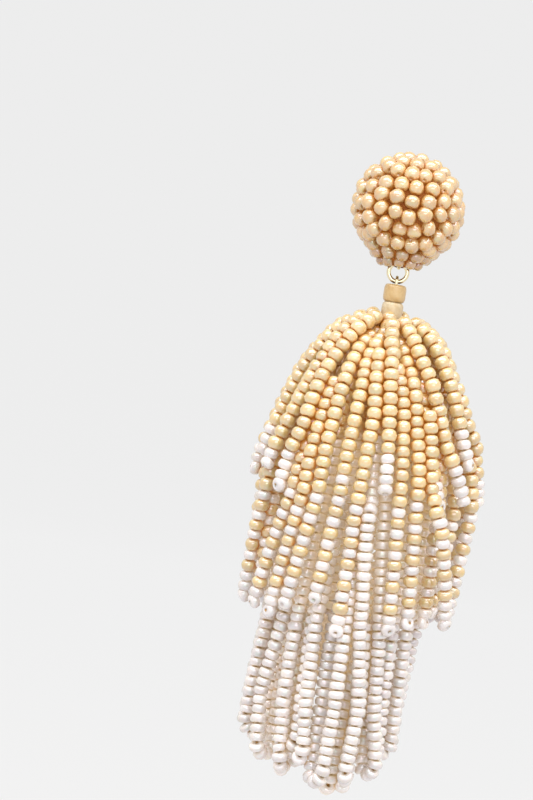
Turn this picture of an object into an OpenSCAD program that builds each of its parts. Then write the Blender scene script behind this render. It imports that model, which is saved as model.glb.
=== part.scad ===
// Tassel earring: a beaded ball on a post, and a three-tier beaded tassel that
// swings below it on a jump ring. Millimetres, +Z up, the front faces -Y.
// The origin is the seat on the ear lobe: the middle of the post pad's back face.

/* [Ear post] */
// Diameter of the post's wire
post_d = 0.8; // [0.6:0.05:1.2]
// Length of the post behind its pad
post_len = 10.5; // [8:0.5:13]
// Diameter of the pad on the back of the ball
pad_d = 7; // [4:0.5:8]
// Thickness of the pad
pad_t = 0.8; // [0.5:0.1:1.4]

/* [Beaded ball] */
// Diameter of the ball over its beads
ball_d = 17.6; // [15:0.2:24]
// Depth of the flat on the ball's back
ball_flat = 1.4; // [1.2:0.1:2.4]
// Height of the collar under the ball, below its lowest bead
collar_h = 0.8; // [0.4:0.1:1.2]
// Wall of the collar at its lower edge
collar_wall = 0.4; // [0.3:0.1:1]

/* [Links] */
// Outside diameter of the jump ring
ring_d = 3.6; // [3.2:0.1:5]
// Wire diameter of the jump ring
ring_wire = 0.7; // [0.5:0.05:0.8]
// Outside diameter of the eye under the ball
eye_d = 2.6; // [2.4:0.1:3.2]
// Wire diameter of the eye
eye_wire = 0.6; // [0.5:0.05:0.8]
// Length of the eye's stem in the ball
eye_stem = 3; // [2:0.5:5]
// Wire diameter of the loop that carries the tassel
loop_wire = 0.5; // [0.4:0.05:0.6]
// Play between two linked wires
link_play = 0.1; // [0.08:0.01:0.2]
// How far the ring swings to each side
swing_deg = 45; // [20:5:50]
// Room round the ring where it swings
swing_room = 0.25; // [0.2:0.05:0.6]

/* [Neck beads] */
// Diameter of the upper neck bead
neck_upper_d = 3.5; // [3.2:0.1:5]
// Height of the upper neck bead
neck_upper_h = 2.8; // [2:0.1:4]
// Diameter of the lower neck bead
neck_lower_d = 3.4; // [3.2:0.1:5]
// Height of the lower neck bead
neck_lower_h = 2.8; // [2:0.1:4]
// Gap between pieces that sit on each other
seat_gap = 0.1; // [0.05:0.01:0.2]

/* [Tassel] */
// Drop of the upper tier, from the crown to its front hem
upper_drop = 29.6; // [24:0.5:36]
// Half width of the upper tier at its hem
upper_half_w = 18.8; // [15:0.2:24]
// Drop of the middle tier, from the crown to its front hem
middle_drop = 49.9; // [42:0.5:60]
// Half width of the middle tier at its hem
middle_half_w = 16.9; // [13:0.1:19]
// Drop of the lower tier, from the crown to its longest loop
lower_drop = 75.8; // [66:0.5:95]
// Half width of the lower tier
lower_half_w = 12.6; // [9:0.1:13]
// Depth of the tassel as a share of its width
depth_share = 0.88; // [0.7:0.01:1]
// Width of one strand, which is the wall of a tier
strand_w = 2.45; // [2:0.05:2.8]
// Gap between two tiers
tier_gap = 0.3; // [0.2:0.05:0.6]
// How far the tassel leans to one side at its lower end
sway_w = 1.2; // [0:0.1:2]

/* [Strands] */
// Strands round the upper tier
upper_strands = 18; // [12:1:22]
// Strands round the middle tier
middle_strands = 20; // [12:1:24]
// Strand runs round the lower tier
lower_strands = 24; // [14:1:28]
// Depth of the groove between two strands
flute = 0.6; // [0.2:0.05:0.9]
// Height of the notch in the hem between two strands
notch = 1.4; // [0.4:0.1:2.5]
// How much higher the upper tier's hem is at its sides
upper_lift = 1; // [0:0.1:4]
// How much higher the middle tier's hem is at its sides
middle_lift = 3.6; // [0:0.1:8]
// How much higher the lower tier's loops end at its sides
lower_lift = 4; // [0:0.1:7]
// How far the middle loops hang below the front ones
belly = 2.4; // [0.5:0.1:5]

/* [Hidden] */
$fn = 64;

CREAM = "#E6CFA0";
CREAM_PALE = "#F0DAB4";
BEIGE = "#DDBD8C";
WHITE = "#F1EBE6";
GOLD = "#E3C98F";
STEEL = "#D8D5CE";

// The bell of the upper tier, top to hem
BELL_DROP = 0;  // column: share of the upper tier's drop
BELL_WIDTH = 1; // column: share of the upper tier's half width
bell = [
    [0.00, 0.08],
    [0.03, 0.27],
    [0.09, 0.42],
    [0.15, 0.52],
    [0.25, 0.62],
    [0.36, 0.72],
    [0.52, 0.81],
    [0.64, 0.87],
    [0.80, 0.95],
    [1.00, 1.00],
];

// The lean of the whole tassel, crown to loops
LEAN_DROP = 0; // column: share of the lower tier's drop
LEAN_SIDE = 1; // column: share of the sway, to the right where it is above 0
lean = [
    [0.00, 0.0],
    [0.39, 0.4],
    [0.66, -0.2],
    [0.82, -1.0],
    [1.00, -1.0],
];

// Stations down a wall, close together where the bell turns quickly
wall_stations = [0, 0.04, 0.09, 0.16, 0.25, 0.37, 0.52, 0.68, 0.84, 1];
core_stations = [0, 0.03, 0.06, 0.1, 0.16, 0.24, 0.34, 0.46, 0.6, 0.75, 0.9, 1];

// Points round a strand, and the share of a wall over which its grooves fade in
POINTS_PER_STRAND = 4;
GROOVE_FADE = 0.25;

// How much of a tier's step counts downwards, and the narrowest rim round the
// bore in the lower tier's crown
CROWN_STEP = 0.6;
CORE_RIM = 0.4;

// How much shorter a wall is on its inside, and where the belly starts to turn
HEM_ROUND = 0.5;
BELLY_TURN = 0.55;

// Width and rise of the collar as shares of the ball's radius, the largest
// shoulder of a neck bead, and how far a cut runs past a face
COLLAR_TOP = 0.5;
COLLAR_RISE = 0.14;
BEAD_SHOULDER = 0.7;
CUT = 1;

// The ball lies in front of the seat, and everything hangs under its centre
ball_r = ball_d / 2;
hang_y = -(ball_r - ball_flat + seat_gap + pad_t);

// Linked wires, from the ball downwards
ring_mean = (ring_d - ring_wire) / 2;
eye_mean = (eye_d - eye_wire) / 2;
eye_link = (eye_wire + ring_wire) / 2 + link_play;
loop_mean = (ring_wire + loop_wire) / 2 + link_play;
collar_z = -ball_r - collar_h;
eye_low_z = collar_z + eye_wire / 2;
eye_z = eye_low_z + eye_mean;
ring_z = eye_low_z + eye_link - ring_mean;
ring_low_z = ring_z - ring_mean;
neck_z = ring_low_z - ring_wire / 2 - link_play;

// The hollow under the ball, where the ring swings round the eye
pocket_r = ring_d / 2 + (ring_mean - eye_link) * sin(swing_deg) + swing_room;
pocket_z = eye_z + eye_d / 2 + swing_room;
stem_r = eye_wire * 0.7;
stem_bore_r = stem_r + seat_gap / 2;

// The loop's two legs run through the neck beads to a head in the lower tier
HEAD_BRIM = 0.5;
HEAD_H = 0.8;
HEAD_COVER = 1.5;
leg_bore_r = loop_mean + loop_wire / 2 + seat_gap;
head_r = leg_bore_r + HEAD_BRIM;
neck_mid_z = neck_z - neck_upper_h;
neck_end_z = neck_mid_z - seat_gap - neck_lower_h;

// Steps from the upper tier's outside inwards, and half widths of the holes in
// the crowns, which are less deep than wide
tier_step = strand_w + tier_gap;
neck_hole_r = (neck_lower_d / 2 + tier_gap) / depth_share;
leg_hole_r = leg_bore_r / depth_share;
crown_z = neck_end_z - seat_gap + top_depth(tier_step, leg_hole_r);
core_top = top_depth(2 * tier_step, leg_hole_r) + seat_gap;
head_z = crown_z - core_top - HEAD_COVER;

// Half width of the upper tier's bell at a depth under the crown
function bell_r(h) = upper_half_w * lookup(h / upper_drop, bell);

// Depth under the crown at which the bell reaches a radius
function bell_depth(r) =
    upper_drop * lookup(r / upper_half_w, [for (row = bell) [row[BELL_WIDTH], row[BELL_DROP]]]);

// The bell taken inwards by a step, which lowers its crown too
function stepped_r(h, step) = bell_r(h - CROWN_STEP * step) - step;

// Depth at which a stepped bell opens to the hole in its crown
function top_depth(step, hole_r) = CROWN_STEP * step + bell_depth(hole_r + step);

// Outside of the middle and the lower tier: under the one above first, then out
// to its own width
function middle_r(h) =
    h <= upper_drop
        ? stepped_r(h, tier_step)
        : let (share = min(1, (h - upper_drop) / (middle_drop - upper_drop)))
          stepped_r(upper_drop, tier_step) * (1 - share) + middle_half_w * share;
function lower_r(h) =
    min(lower_half_w, h <= upper_drop ? stepped_r(h, 2 * tier_step) : middle_r(h) - tier_step);

// Inside of the middle tier, a strand's width in from its outside
function middle_in_r(h) =
    h <= upper_drop ? stepped_r(h, tier_step + strand_w) : middle_r(h) - strand_w;

// The hem rises towards the sides and is notched between strands
function hem_depth(a, drop, lift, strands) =
    drop - lift * pow(sin(a), 2) - notch * (0.5 - 0.5 * cos(strands * a));

// Depth of the groove between two strands, fading in under the crown
function groove(a, s, strands) =
    flute * min(1, s / GROOVE_FADE) * (0.5 - 0.5 * cos(strands * a));

// A point of the tassel, leaning sideways with its depth. An angle of 0 is the front
lean_mm = [for (row = lean) [lower_drop * row[LEAN_DROP], sway_w * row[LEAN_SIDE]]];
function tassel_point(a, r, h) =
    [lookup(h, lean_mm) + r * sin(a), hang_y - depth_share * r * cos(a), crown_z - h];

// Two triangles for each four neighbours of a net of rings, taken outwards
function net_faces(rings, around, closed) =
    [for (i = [0 : rings - (closed ? 1 : 2)], j = [0 : around - 1], half = [0, 1])
        let (k = (j + 1) % around, n = (i + 1) % rings,
             p = i * around + j, q = i * around + k, s = n * around + j, t = n * around + k)
        half == 0 ? [p, s, q] : [q, s, t]];

// A wire ring about the Y axis
module wire_ring(mean_r, wire_d) {
    rotate([90, 0, 0])
        rotate_extrude()
            translate([mean_r, 0])
                circle(d = wire_d, $fn = 32);
}

// A bead with rounded shoulders and a straight hole, its top at z = 0
module barrel_bead(d, h, hole_r) {
    shoulder = min(BEAD_SHOULDER, h / 4, (d / 2 - hole_r) / 2);
    rotate_extrude()
        polygon(concat(
            [[hole_r, 0]],
            [for (t = [0 : 15 : 90]) [d / 2 - shoulder * (1 - sin(t)), -shoulder * (1 - cos(t))]],
            [for (t = [90 : -15 : 0]) [d / 2 - shoulder * (1 - sin(t)), -h + shoulder * (1 - cos(t))]],
            [[hole_r, -h]]));
}

// Upper and middle tier: a fluted wall, open below, with a hole in its crown
module tier_wall(strands, drop, lift, hole_r, outer, inner, outer_top, inner_top) {
    around = strands * POINTS_PER_STRAND;
    angles = [for (j = [0 : around - 1]) 360 * j / around];
    outer_rings = [for (s = wall_stations) [for (a = angles)
        let (h = outer_top + s * (hem_depth(a, drop, lift, strands) - outer_top))
        tassel_point(a, max(hole_r, outer(h) - groove(a, s, strands)), h)]];
    inner_rings = [for (i = [len(wall_stations) - 1 : -1 : 0]) [for (a = angles)
        let (s = wall_stations[i], hem = hem_depth(a, drop, lift, strands) - HEM_ROUND,
             h = inner_top + s * (hem - inner_top))
        tassel_point(a, max(hole_r, inner(h)), h)]];
    rings = concat(outer_rings, inner_rings);
    polyhedron([for (ring = rings) each ring], net_faces(len(rings), around, true), convexity = 6);
}

// Lower tier: a fluted core of the looped strands' outer form, rounded underneath
module tier_core() {
    around = lower_strands * POINTS_PER_STRAND;
    angles = [for (j = [0 : around - 1]) 360 * j / around];
    side_rings = [for (s = core_stations) [for (a = angles)
        let (hem = hem_depth(a, lower_drop - belly, lower_lift, lower_strands),
             h = core_top + s * (hem - core_top), tuck = s == 1 ? strand_w / 2 : 0,
             r = lower_r(h) - groove(a, s, lower_strands) - tuck)
        tassel_point(a, max(leg_hole_r + CORE_RIM, r), h)]];
    belly_ring = [for (a = angles)
        let (hem = hem_depth(a, lower_drop - belly, lower_lift, lower_strands))
        tassel_point(a, lower_half_w * BELLY_TURN, hem + (lower_drop - hem) * BELLY_TURN)];
    rings = concat(side_rings, [belly_ring]);
    count = len(rings) * around;
    points = concat([for (ring = rings) each ring],
        [tassel_point(0, 0, core_top), tassel_point(0, 0, lower_drop)]);
    top_fan = [for (j = [0 : around - 1]) [count, j, (j + 1) % around]];
    low_fan = [for (j = [0 : around - 1])
        [count + 1, count - around + (j + 1) % around, count - around + j]];
    polyhedron(points, concat(net_faces(len(rings), around, false), top_fan, low_fan), convexity = 6);
}

module ear_post() {
    color(STEEL) rotate([90, 0, 0]) {
        cylinder(d = pad_d, h = pad_t);
        translate([0, 0, -post_len + post_d / 2]) cylinder(d = post_d, h = post_len - post_d / 2);
        translate([0, 0, -post_len]) cylinder(d1 = post_d / 2, d2 = post_d, h = post_d / 2);
    }
}

module beaded_ball() {
    color(BEIGE) translate([0, hang_y, 0]) difference() {
        union() {
            sphere(d = ball_d, $fn = 96);
            translate([0, 0, collar_z])
                cylinder(r1 = pocket_r + collar_wall, r2 = ball_r * COLLAR_TOP,
                    h = ball_r * COLLAR_RISE + collar_h);
        }
        translate([-ball_r, ball_r - ball_flat, -ball_r]) cube([ball_d, ball_flat * 2, ball_d]);
        translate([0, 0, collar_z - CUT]) cylinder(r = pocket_r, h = pocket_z - collar_z + CUT);
        translate([0, 0, pocket_z - CUT]) cylinder(r = stem_bore_r, h = eye_stem + seat_gap + CUT);
    }
}

module ball_eye() {
    color(GOLD) translate([0, hang_y, 0]) {
        translate([0, 0, eye_z]) rotate([0, 0, 90]) wire_ring(eye_mean, eye_wire);
        translate([0, 0, eye_z + eye_mean]) cylinder(r = stem_r, h = pocket_z - eye_z - eye_mean + eye_stem);
    }
}

module jump_ring() {
    color(GOLD) translate([0, hang_y, ring_z]) wire_ring(ring_mean, ring_wire);
}

module tassel_loop() {
    color(GOLD) translate([0, hang_y, ring_low_z]) {
        rotate([90, 0, 90])
            rotate_extrude(angle = 180)
                translate([loop_mean, 0])
                    circle(d = loop_wire, $fn = 32);
        for (side = [-1, 1])
            translate([0, side * loop_mean, head_z - ring_low_z])
                cylinder(d = loop_wire, h = ring_low_z - head_z, $fn = 32);
        translate([0, 0, head_z - HEAD_H - ring_low_z]) cylinder(r = head_r, h = HEAD_H);
    }
}

module neck_bead_upper() {
    color(CREAM) translate([0, hang_y, neck_z]) barrel_bead(neck_upper_d, neck_upper_h, leg_bore_r);
}

module neck_bead_lower() {
    color(CREAM_PALE) translate([0, hang_y, neck_mid_z - seat_gap])
        barrel_bead(neck_lower_d, neck_lower_h, leg_bore_r);
}

module upper_tier_fringe() {
    color(CREAM) tier_wall(upper_strands, upper_drop, upper_lift, neck_hole_r,
        function(h) bell_r(h), function(h) stepped_r(h, strand_w),
        top_depth(0, neck_hole_r), top_depth(strand_w, neck_hole_r));
}

module middle_tier_fringe() {
    color(CREAM_PALE) tier_wall(middle_strands, middle_drop, middle_lift, leg_hole_r,
        function(h) middle_r(h), function(h) middle_in_r(h),
        top_depth(tier_step, leg_hole_r), top_depth(tier_step + strand_w, leg_hole_r));
}

module lower_tier_fringe() {
    color(WHITE) difference() {
        tier_core();
        translate([0, hang_y, head_z]) cylinder(r = leg_bore_r, h = HEAD_COVER + CUT);
        translate([0, hang_y, head_z - HEAD_H - seat_gap])
            cylinder(r = head_r + seat_gap, h = HEAD_H + 2 * seat_gap);
    }
}

ear_post();
beaded_ball();
ball_eye();
jump_ring();
tassel_loop();
neck_bead_upper();
neck_bead_lower();
upper_tier_fringe();
middle_tier_fringe();
lower_tier_fringe();
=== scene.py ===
"""Tassel earring: a beaded ball on a post over a beaded tassel in three tiers.

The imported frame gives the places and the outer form. This script strings the glass
beads, finishes the metal and sets the studio. Lengths in tables are millimetres.
"""

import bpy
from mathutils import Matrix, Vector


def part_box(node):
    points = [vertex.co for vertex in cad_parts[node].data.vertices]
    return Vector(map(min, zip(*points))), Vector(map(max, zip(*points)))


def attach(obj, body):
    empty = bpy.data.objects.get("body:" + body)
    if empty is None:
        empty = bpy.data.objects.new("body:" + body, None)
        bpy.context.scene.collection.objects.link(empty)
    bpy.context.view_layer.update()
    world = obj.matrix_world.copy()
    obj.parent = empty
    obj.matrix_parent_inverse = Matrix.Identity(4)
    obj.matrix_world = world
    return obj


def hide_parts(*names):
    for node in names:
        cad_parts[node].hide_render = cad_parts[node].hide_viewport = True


bl_info = {
    "name": "Tassel Earring",
    "version": (1, 0, 0),
    "blender": (4, 5, 0),
    "location": "View3D > Sidebar > Earring",
    "description": "Strings the beads of a tassel earring round its packed frame",
    "category": "Add Mesh",
}

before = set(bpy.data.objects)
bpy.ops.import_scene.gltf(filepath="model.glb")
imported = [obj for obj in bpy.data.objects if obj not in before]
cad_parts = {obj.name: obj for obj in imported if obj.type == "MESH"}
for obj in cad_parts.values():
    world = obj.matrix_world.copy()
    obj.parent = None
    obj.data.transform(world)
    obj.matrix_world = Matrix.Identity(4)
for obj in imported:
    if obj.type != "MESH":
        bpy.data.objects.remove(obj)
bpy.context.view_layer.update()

import math
from functools import partial

import bpy
import numpy as np
from bpy.props import FloatProperty, FloatVectorProperty, IntProperty, PointerProperty
from mathutils import Vector

MM = 0.001
WHITE = (1.0, 1.0, 1.0)

# Where things hang, read from the frame
hang_y = sum(corner.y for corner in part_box("neck_bead_lower")) / 2
ball_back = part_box("beaded_ball")[1].y
lowest_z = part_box("lower_tier_fringe")[0].z

# The wound funnel under the ball: bottom, top, outer radius at each, inner radius
FUNNEL = (-9.15 * MM, -6.3 * MM, 2.65 * MM, 4.3 * MM, 2.42 * MM)

# Where the core is cut at the back, from its centre, for the boss that holds the pad
BOSS_CUT = 6.5 * MM

# A bead's bulge, its length against its place on the thread, and how much of its length
# each rounded shoulder takes. The neck beads have longer straight sides and a wide bore
BULGE = 0.24
SLACK = 0.99
SHOULDER_SHARE = 0.4
NECK_SHOULDER_SHARE = 0.28
NECK_BORE = 2.1 * MM

# How much higher the lower neck bead's top is drawn, so that it meets the upper one
NECK_SEAT = 0.1 * MM

# How far the glass shader looks for neighbouring beads, for the painted shade, the thinned coat and
# the painted glow in the gaps between them
GAP_REACH = 1.0 * MM

# Thickness of the lustre film on the glass, in nanometres, at its thinnest and thickest
LUSTRE_NM = (235.0, 415.0)

# Patterns in the finishes, as repeats in a metre: cloudy patches, waves and streaks of
# about 1 mm in bead glass, wear on wire, swirls in pressed glass, and thread twist of
# 0.4 mm. Drawing lines, pits and paper tooth are finer on the real things than here,
# and are drawn this coarse so that they show
PATCHES = 0.9 / MM
WAVES = 1.1 / MM
STREAKS = 1.0 / MM
WEAR = 0.8 / MM
SWIRLS = 0.8 / MM
TWIST = 1.6 / MM
DRAWING_LINES = 6.0 / MM
PITS = 2.4 / MM
PAPER_TOOTH = 0.2 / MM

# The tassel's outer form, in millimetres, as the frame's own solids have it
UPPER_DROP = 29.6
MIDDLE_DROP = 49.9
LOWER_DROP = 75.8
BELL_HALF = 18.8
DEPTH_SHARE = 0.88
SWAY = 1.2
crown_z = lowest_z + LOWER_DROP * MM

# The bell of the upper tier: share of its drop, share of its half width
BELL = ((0.00, 0.08), (0.03, 0.27), (0.09, 0.42), (0.15, 0.52), (0.25, 0.62),
        (0.36, 0.72), (0.52, 0.81), (0.64, 0.87), (0.80, 0.95), (1.00, 1.00))

# The lean of the tassel: share of the whole drop, share of the sway
LEAN = ((0.00, 0.0), (0.39, 0.4), (0.66, -0.2), (0.82, -1.0), (1.00, -1.0))

# Depth of a bead's centre under the bell's surface: drop, depth
UPPER_DEPTH = ((0.0, 1.22), (30.0, 1.22))
MIDDLE_DEPTH = ((3.0, 3.6), (12.0, 2.1), (30.0, 2.1))
LOWER_DEPTH = ((0.0, 4.4), (30.0, 4.4))
MIDDLE_HEM_R = 15.7
LOWER_R = 11.5

# Strands of the upper tier at the front and sides. Columns: degrees round from the
# front at UPPER_AT, first bead's drop, drop where white starts, last bead's drop,
# and how far the strand lies under the others
UPPER_AT = (3, 10, 20, 29)
UPPER_FRONT = (
    ((2, 4, 7, 8), 3.0, 23.0, 28.8, 0.0),
    ((24, 36, 45, 60), 2.4, 23.8, 28.2, 0.0),
    ((34, 35, 36, 46), 12.0, 24.8, 29.9, 2.2),
    ((56, 59, 64, 74), 2.2, 18.0, 22.9, 0.0),
    ((70, 68, 86, 88), 3.4, 24.0, 29.3, 0.0),
    ((-39, -46, -46, -51), 2.0, 25.2, 30.4, 0.0),
    ((-56, -57, -63, -69), 3.4, 24.0, 28.0, 0.0),
    ((-75, -84, -90, -95), 1.6, 20.6, 25.6, 0.0),
    ((104, 110, 114, 116), 2.6, 30.0, 35.2, 0.0),
)

# Strands of the middle tier at the front and sides, in the same columns
MIDDLE_AT = (6, 16, 30, 49)
MIDDLE_FRONT = (
    ((-9, -3, -5, -3), 8.0, 31.6, 50.6, 0.0),
    ((-15, -15, -15, -19), 2.2, 26.5, 46.7, 0.0),
    ((-32, -30, -27, -37), 4.2, 29.3, 48.4, 0.0),
    ((-35, -39, -36, -47), 13.0, 32.8, 50.4, 0.0),
    ((-43, -43, -43, -64), 14.0, 30.4, 49.4, 0.0),
    ((-66, -67, -69, -88), 12.0, 31.5, 48.0, 0.0),
    ((10, 16, 17, 26), 9.8, 30.7, 49.9, 0.0),
    ((19, 27, 27, 38), 2.6, 29.2, 48.2, 0.0),
    ((33, 34, 36, 60), 16.0, 30.8, 47.8, -2.4),
    ((46, 48, 48, 60), 14.0, 31.0, 48.8, 1.6),
    ((82, 84, 86, 86), 6.0, 30.0, 48.0, 0.0),
    ((62, 64, 68, 70), 14.0, 30.4, 47.2, 1.8),
    ((-76, -76, -76, -74), 15.0, 31.2, 46.6, 1.8),
    ((-104, -104, -104, -108), 5.0, 30.6, 47.2, 0.0),
)

# The same tiers' strands round the back: how many, degrees round to the first one, first
# beads' drops in turn, how uneven the ends are, and the least and most that isn't cream
UPPER_BACK = (9, 130, (2.5, 1.6, 3.8), 2.5, (4.2, 5.6))
MIDDLE_BACK = (10, 106, (6, 10), 3.5, (18, 20))
BACK_STEP = 16

# How far they stray from even turns, in degrees
BACK_STRAY = 2

# How much of a middle strand's end is all white
WHITE_END = 2.6

# Looped strands of the lower tier at the front and sides. Columns: degrees round at
# LOWER_AT, drop where white starts, the loop's lowest drop, how far it lies inside
# the others
LOWER_AT = (20, 35, 50, 62, 72)
LOWER_FRONT = (
    ((0, 2, 10, 20, 18), 20.0, 72.9, -3.8),
    ((10, 15, 26, 36, 47), 20.0, 71.9, -1.6),
    ((-5, 0, 1, 6, 5), 22.0, 73.8, -3.8),
    ((-15, -16, -18, -12, -8), 20.0, 71.0, -2.0),
    ((-30, -36, -38, -33, -27), 21.0, 73.2, 0.0),
    ((-26, -27, -27, -20, -17), 11.0, 71.5, 1.4),
    ((-45, -48, -52, -59, -52), 22.0, 71.4, 0.0),
    ((-75, -80, -88, -88, -83), 20.0, 68.8, 0.0),
    ((38, 40, 42, 51, 53), 20.0, 70.4, 0.0),
    ((58, 58, 60, 76, 88), 22.0, 68.8, 0.0),
    ((24, 25, 25, 24, 23), 21.0, 75.0, 2.6),
    ((28, 29, 30, 29, 27), 19.0, 74.5, 1.6),
)

# Looped strands round the back: how many, degrees round to the first one and between
# them, where white starts, how much higher they hang, and how they rise at the sides
LOWER_BACK = (10, 96, 18.6)
LOWER_WHITE = 20.0
BACK_RISE = 3.2
SIDE_RISE = 4.2

# How far they stray from even turns and bend on the way down, in degrees, and how
# uneven their ends are
LOOP_STRAY = 3
LOOP_BEND = 5
LOOP_RAGGED = 1.5

# Where a looped strand starts outside and ends inside, the radius of its turn at the
# bottom, how many degrees beside its way down it goes up, and the turn's points
LOWER_START = 8.0
INNER_START = 48.6
LOOP_R = 1.9
INNER_TURN = 8
TURN_POINTS = 12

# The way of a strand: its points, the stretch over which one comes forward below the
# upper tier, steps of a tier's middle line below the bell, how far that runs on, and
# how far past a strand's end its beads' lengths are still drawn
ROUTE_POINTS = 240
FORWARD_STRETCH = 6
LINE_STEP = 0.3
LINE_OVER = 8
DRAW_OVER = 0.3

# How strongly beads are drawn back to where they hang, sideways, in depth and in height.
# A charted strand holds its place, a looped one less so, and the others find theirs
CHARTED_HOLD = np.array([0.16, 0.03, 0.16])
LOOP_HOLD = CHARTED_HOLD * 0.7
FREE_HOLD = np.array([0.04, 0.04, 0.04])

# Settling: rounds, how far a bead looks for others, how close two beads may come, as a
# share of their widths, how much charted beads give way, the pull along the thread, and
# how much of an overlap one round clears
SETTLE_ROUNDS = 90
SETTLE_REACH = 3.2
CLOSENESS = 0.96
CHARTED_GIVE = 0.6
THREAD_PULL = 0.4
PUSH = 0.7

# How far under the others a strand is fully covered, and how far below a hem its cover
# ends and over what height it fades. The cover sets how strongly a bead glows as painted
# light
COVER_DEPTH = 5.0
HEM_COVER = 1.0
HEM_SHADE = 3.0

# How the tassel's beads differ: in length, and at most how many times that, in width,
# in tilt, and how much more in width in the looped strands
LENGTH_SPREAD = 0.06
LENGTH_LIMIT = 1.6
WIDTH_SPREAD = 0.03
TILT = 0.07
LOOP_UNEVEN = 1.8

# The hole of a strand's knotted last bead: its rise, and how many times the tilt it varies
KNOTTED_RISE = 0.5
KNOTTED_TILT = 7.0

# Where each thread leaves the neck, as a share of its first bead's place and below the
# crown, where it comes to that bead, and how far its end reaches out
KNOT_SHARE = (0.3, 0.3, 0.0)
KNOT_DROP = 2.3
INNER_SHARE = (0.5, 0.5, 1.0)
INNER_RISE = 2.5
END_SHARE = (1.05, 1.05, 1.0)

# Beads of the ball that the front shows, side and height from its centre. They
# lie in rings round a sunken spot below the middle
BALL_FRONT = (
    (0.1, -1.6), (2.5, -0.8), (3.4, -2.7), (3.3, -5.1), (1.3, -5.7), (-0.9, -5.6),
    (-3.0, -5.3), (-3.2, -2.9), (-2.0, -1.0),
    (0.3, 0.8), (2.8, 1.1), (4.8, -0.4), (6.0, -2.3), (5.1, -3.8), (4.6, -6.1),
    (2.5, -7.0), (0.1, -7.1), (-2.0, -6.8), (-4.5, -6.1), (-4.7, -4.0), (-5.7, -2.3),
    (-4.2, -0.7), (-2.1, 1.3),
    (0.6, 3.1), (3.1, 3.2), (5.1, 1.7), (6.7, 0.0), (7.3, -2.7), (6.4, -4.5),
    (-6.2, -4.5), (-7.0, -2.7), (-6.2, 0.0), (-4.4, 1.4), (-1.7, 3.3), (-4.0, 3.1),
    (-0.3, 5.1), (1.7, 5.1), (3.8, 5.2), (5.2, 3.8), (6.8, 2.2), (7.8, -0.7),
    (-2.5, 5.4), (-5.5, 4.6), (-5.9, 2.4), (-7.2, 1.9),
    (0.2, 6.7), (2.4, 6.6), (-1.9, 6.8), (4.6, 6.2), (0.9, 7.7), (3.2, 7.1), (-4.2, 6.4),
    (-4.9, -5.9), (4.7, -6.2),
)
BALL_SUNKEN = ((-0.9, -3.4), (1.3, -3.4))
SUNKEN_DEPTH = 0.75
RINGS_ROUND = (0.15, -3.4)

# Beads beside and behind the charted ones: first rings round the same spot, then bare
# spots, looked for at so many places. Rooms are shares of the shell's radius, from one
# bead's middle to the next. The pad and the funnel keep a cone of this angle free
RING_TILTS = [24 + 15.5 * ring for ring in range(2, 11)]
RING_PITCH = 2.2
BALL_TRIES = 900
BALL_ROUNDS = 3
RING_ROOM = 0.22
BALL_ROOM = 0.225
BALL_PITCH = 2.22
BALL_FILL_FROM = -0.58
OPEN_ANGLE = math.radians(39)

# How those beads slide until they lie side by side: rounds, how far one looks for
# others, and how readily it gives way
SLIDE_ROUNDS = 80
SLIDE_REACH = 2.6
SLIDE_GIVE = 1.3

# How the ball's beads differ in width, in length and in tilt, and the seed for it
BALL_WIDTH_SPREAD = 0.04
BALL_LENGTH_SPREAD = 0.06
BALL_TILT = 0.12
BALL_SEED = 11

# Rows of smaller beads on the funnel under the ball: height from the ball's centre,
# radius, size, and how many degrees round from the front each bead sits
FUNNEL_ROWS = (
    (-7.3, 3.95, 0.82, (-70, -30, 2, 34, 68, 96, 124, 152, 180, 208, 236, 263)),
    (-8.45, 2.9, 0.7, (-79, -40, -3, 34, 73, 107, 143, 180, 217, 253)),
)

# How much darker they are painted, as shade under the ball, in steps of the beads' own range
FUNNEL_PAINTED_SHADE = 1.1

# The studio, in metres: how far below the earring the floor lies, the floor's radius,
# the radius of its sweep and the height of the wall. Lamps: name, place, width,
# height, power
FLOOR_DROP = 0.03
FLOOR_R = 1.6
SWEEP_R = 0.7
SWEEP_STEPS = 10
WALL_HIGH = 0.9
LAMPS = (
    ("top strip", (0.0, -0.18, 0.6), 1.3, 0.16, 3.6),
    ("upper strip", (-0.05, -0.38, 0.44), 1.3, 0.13, 2.7),
    ("front panel", (0.06, -0.7, 0.14), 0.6, 0.24, 1.2),
)
LAMP_AIM_Z = -0.04
WARM_WHITE = (1.0, 0.965, 0.91)
SKY_STRENGTH = 0.4
SMOOTH_ANGLE = math.radians(40)


def linear(code):
    """Turns an sRGB hex colour into the linear values that shaders use."""
    parts = [int(code[i:i + 2], 16) / 255 for i in (1, 3, 5)]
    return [c / 12.92 if c <= 0.04045 else ((c + 0.055) / 1.055) ** 2.4 for c in parts]


def length(name, description, millimetres):
    """A size that a user can change, in Blender's metres."""
    return FloatProperty(name=name, description=description, default=millimetres * MM,
                         min=0.01 * MM, precision=5, unit="LENGTH", subtype="DISTANCE")


def colour(name, description, code):
    """A colour that a user can change."""
    return FloatVectorProperty(name=name, description=description, default=linear(code),
                               subtype="COLOR", min=0, max=1)


class BallSettings(bpy.types.PropertyGroup):
    """Sizes of the beaded ball."""

    bead_width: length("Bead width", "Width of a bead on the ball", 2.52)
    bead_length: length("Bead length", "Length of a bead on the ball along its hole", 2.2)
    hole: length("Hole", "Diameter of the hole through a bead of the ball", 0.3)
    shell_radius: length("Shell radius", "Radius on which the beads' centres lie", 7.75)
    core_radius: length("Core radius", "Radius of the wound core under the beads", 7.25)


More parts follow.
